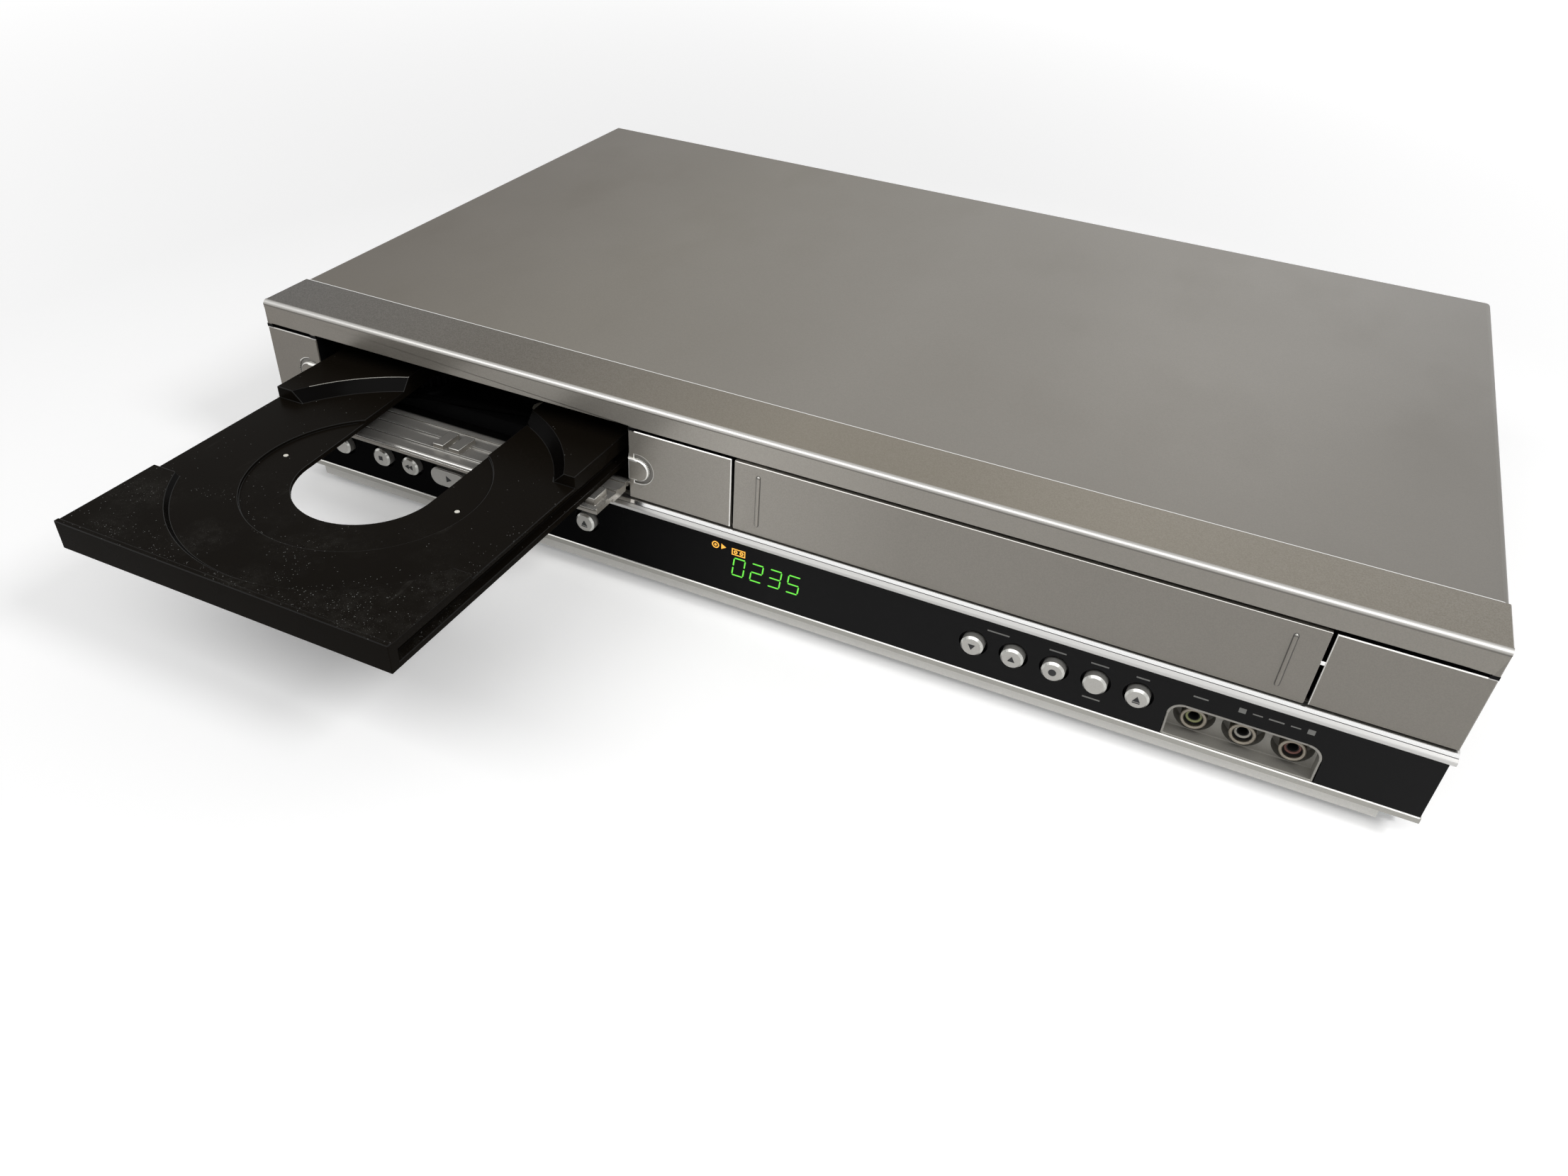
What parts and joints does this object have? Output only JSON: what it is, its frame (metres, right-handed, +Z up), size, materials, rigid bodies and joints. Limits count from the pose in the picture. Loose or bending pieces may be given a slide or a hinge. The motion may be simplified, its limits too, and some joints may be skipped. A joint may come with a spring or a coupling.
{
  "type": "disc and tape combo player",
  "caption": "Low silver cabinet player with a disc tray slid out on the left, a hinged tape cassette door on the right, a gloss-black button band and phono jacks.",
  "frame": {"origin": "on the floor plane under the middle of the footprint, tray out", "axes": "+X to the viewer's right, +Y to the back, +Z up; the front with its buttons faces -Y"},
  "size_m": [0.4386, 0.3884, 0.079],
  "materials": {
    "cover_satin": "satin silver-grey coat",
    "silver_plastic": "metallic silver paint",
    "bright_strip": "polished",
    "gloss_black": "gloss",
    "button_silver": "metallic paint with a polished rim",
    "tray_black": "satin gloss, slightly dusty",
    "black_plastic": "fine texture",
    "grey_plastic": "fine texture",
    "cream_plastic": "moulded",
    "zinc_steel": "zinc plated",
    "black_steel": "textured coat",
    "bright_metal": "polished",
    "drum_alloy": "turned",
    "jack_metal": "nickel plated",
    "jack_insulator": "moulded, coloured per jack",
    "circuit_board": "solder mask",
    "power_board_face": "bare laminate",
    "transformer_tape": "taped winding",
    "capacitor_sleeve": "shrink sleeve",
    "display_glass": "dark green glass",
    "foot_rubber": "matt",
    "belt_rubber": "matt",
    "lens_glass": "coated"
  },
  "bodies": {
    "cabinet": {"bottom_chassis": "zinc_steel", "top_cover": "cover_satin", "front_bezel": "silver_plastic", "rear_panel": "black_steel", "chrome_strip": "bright_strip", "lens_panel": "gloss_black", "jack_recess": "grey_plastic", "jack_sleeves": "jack_metal", "jack_inserts": "jack_insulator", "rear_jack_block": "black_plastic", "display_module": "display_glass", "control_board": "circuit_board", "tact_switches": "black_plastic", "rubber_feet": "foot_rubber", "case_screws": "bright_metal", "main_board": "circuit_board", "power_board": "power_board_face", "power_transformer": "transformer_tape", "reservoir_capacitors": "capacitor_sleeve", "mains_inlet": "black_plastic", "tuner_module": "zinc_steel", "loader_frame": "black_plastic", "clamp_bridge": "black_steel", "loader_motor": "bright_metal", "loader_belt": "belt_rubber", "vcr_deck": "zinc_steel", "drum_base": "drum_alloy", "carrier_side_plates": "zinc_steel", "hinge_springs": "bright_metal"},
    "tray": {"disc_tray": "tray_black"},
    "flap": {"dvd_flap": "silver_plastic"},
    "gear": {"loader_gear": "black_plastic"},
    "pulley": {"motor_pulley": "cream_plastic"},
    "clamp": {"disc_clamp": "black_plastic"},
    "traverse": {"traverse_chassis": "zinc_steel", "spindle_motor": "bright_metal", "sled_rails": "bright_metal"},
    "turntable": {"turntable": "black_plastic"},
    "sled": {"pickup_sled": "black_plastic", "objective_lens": "lens_glass"},
    "cassette_door": {"cassette_door": "silver_plastic"},
    "carrier": {"carrier_slider": "zinc_steel"},
    "holder": {"cassette_holder": "zinc_steel"},
    "drum": {"head_drum": "drum_alloy"},
    "capstan": {"capstan": "bright_metal"},
    "pinch": {"pinch_arm": "zinc_steel"},
    "supply": {"supply_reel": "black_plastic"},
    "take_up": {"take_up_reel": "black_plastic"},
    "power_button": {"power_button": "button_silver"},
    "stop_button": {"stop_button": "button_silver"},
    "rewind_button": {"rewind_button": "button_silver"},
    "play_button": {"play_button": "button_silver"},
    "forward_button": {"forward_button": "button_silver"},
    "pause_button": {"pause_button": "button_silver"},
    "tray_button": {"tray_button": "button_silver"},
    "channel_down_button": {"channel_down_button": "button_silver"},
    "channel_up_button": {"channel_up_button": "button_silver"},
    "record_button": {"record_button": "button_silver"},
    "source_button": {"source_button": "button_silver"},
    "cassette_button": {"cassette_button": "button_silver"}
  },
  "joints": [
    {"name": "tray_slide", "type": "slide", "parent": "cabinet", "child": "tray", "axis": [0, 1, 0], "range_m": [0, 0.127]},
    {"name": "gear_spin", "type": "hinge", "parent": "cabinet", "child": "gear", "pos_m": [-0.1661, -0.04818, 0.0512], "axis": [0, 0, 1], "range_deg": [-608, 1]},
    {"name": "pulley_spin", "type": "hinge", "parent": "cabinet", "child": "pulley", "pos_m": [-0.1101, -0.04818, 0.0478], "axis": [0, 0, 1], "range_deg": [-2515, 2]},
    {"name": "flap_hinge", "type": "hinge", "parent": "cabinet", "child": "flap", "pos_m": [-0.1943, -0.07068, 0.0463], "axis": [1, 0, 0], "range_deg": [0, 12], "stiffness_Nm_per_rad": 0.0015, "springref_deg": -90},
    {"name": "clamp_spin", "type": "hinge", "parent": "cabinet", "child": "clamp", "pos_m": [-0.12515, -0.00077, 0.06289], "axis": [0, 0, 1], "continuous": true},
    {"name": "traverse_lift", "type": "hinge", "parent": "cabinet", "child": "traverse", "pos_m": [-0.12515, 0.09623, 0.0376], "axis": [-1, 0, 0], "range_deg": [0, 6]},
    {"name": "turntable_spin", "type": "hinge", "parent": "traverse", "child": "turntable", "pos_m": [-0.12515, -0.00273, 0.05112], "axis": [0, -0.1045, 0.9945], "continuous": true},
    {"name": "sled_slide", "type": "slide", "parent": "traverse", "child": "sled", "axis": [0, 0.9945, 0.1045], "range_m": [0, 0.034]},
    {"name": "cassette_door_hinge", "type": "hinge", "parent": "cabinet", "child": "cassette_door", "pos_m": [0.0784, -0.06698, 0.0716], "axis": [1, 0, 0], "range_deg": [0, 95], "stiffness_Nm_per_rad": 0.001, "springref_deg": -28.65},
    {"name": "carrier_slide", "type": "slide", "parent": "cabinet", "child": "carrier", "axis": [0, 1, 0], "range_m": [0, 0.04]},
    {"name": "holder_drop", "type": "slide", "parent": "carrier", "child": "holder", "axis": [0, 0, -1], "range_m": [0, 0.015]},
    {"name": "drum_spin", "type": "hinge", "parent": "cabinet", "child": "drum", "pos_m": [0.0784, 0.14442, 0.0158], "axis": [0, 0, 1], "continuous": true},
    {"name": "capstan_spin", "type": "hinge", "parent": "cabinet", "child": "capstan", "pos_m": [0.1244, 0.12243, 0.0158], "axis": [0, 0, 1], "continuous": true},
    {"name": "pinch_swing", "type": "hinge", "parent": "cabinet", "child": "pinch", "pos_m": [0.1355, 0.09642, 0.0158], "axis": [0, 0, 1], "range_deg": [0, 5]},
    {"name": "supply_spin", "type": "hinge", "parent": "cabinet", "child": "supply", "pos_m": [0.0324, 0.04983, 0.0158], "axis": [0, 0, 1], "continuous": true},
    {"name": "take_up_spin", "type": "hinge", "parent": "cabinet", "child": "take_up", "pos_m": [0.1244, 0.04983, 0.0158], "axis": [0, 0, 1], "continuous": true},
    {"name": "power_press", "type": "slide", "parent": "cabinet", "child": "power_button", "axis": [0, 1, 0], "range_m": [0, 0.0008], "stiffness_N_per_m": 600},
    {"name": "stop_press", "type": "slide", "parent": "cabinet", "child": "stop_button", "axis": [0, 1, 0], "range_m": [0, 0.0008], "stiffness_N_per_m": 600},
    {"name": "rewind_press", "type": "slide", "parent": "cabinet", "child": "rewind_button", "axis": [0, 1, 0], "range_m": [0, 0.0008], "stiffness_N_per_m": 600},
    {"name": "play_press", "type": "slide", "parent": "cabinet", "child": "play_button", "axis": [0, 1, 0], "range_m": [0, 0.0008], "stiffness_N_per_m": 600},
    {"name": "forward_press", "type": "slide", "parent": "cabinet", "child": "forward_button", "axis": [0, 1, 0], "range_m": [0, 0.0008], "stiffness_N_per_m": 600},
    {"name": "pause_press", "type": "slide", "parent": "cabinet", "child": "pause_button", "axis": [0, 1, 0], "range_m": [0, 0.0008], "stiffness_N_per_m": 600},
    {"name": "tray_press", "type": "slide", "parent": "cabinet", "child": "tray_button", "axis": [0, 1, 0], "range_m": [0, 0.0008], "stiffness_N_per_m": 600},
    {"name": "channel_down_press", "type": "slide", "parent": "cabinet", "child": "channel_down_button", "axis": [0, 1, 0], "range_m": [0, 0.0008], "stiffness_N_per_m": 600},
    {"name": "channel_up_press", "type": "slide", "parent": "cabinet", "child": "channel_up_button", "axis": [0, 1, 0], "range_m": [0, 0.0008], "stiffness_N_per_m": 600},
    {"name": "record_press", "type": "slide", "parent": "cabinet", "child": "record_button", "axis": [0, 1, 0], "range_m": [0, 0.0008], "stiffness_N_per_m": 600},
    {"name": "source_press", "type": "slide", "parent": "cabinet", "child": "source_button", "axis": [0, 1, 0], "range_m": [0, 0.0008], "stiffness_N_per_m": 600},
    {"name": "cassette_press", "type": "slide", "parent": "cabinet", "child": "cassette_button", "axis": [0, 1, 0], "range_m": [0, 0.0008], "stiffness_N_per_m": 600}
  ],
  "couplings": [
    {"joint": "gear_spin", "follows": "tray_slide", "rad_per_m": -83.333},
    {"joint": "pulley_spin", "follows": "tray_slide", "rad_per_m": -345.24}
  ]
}
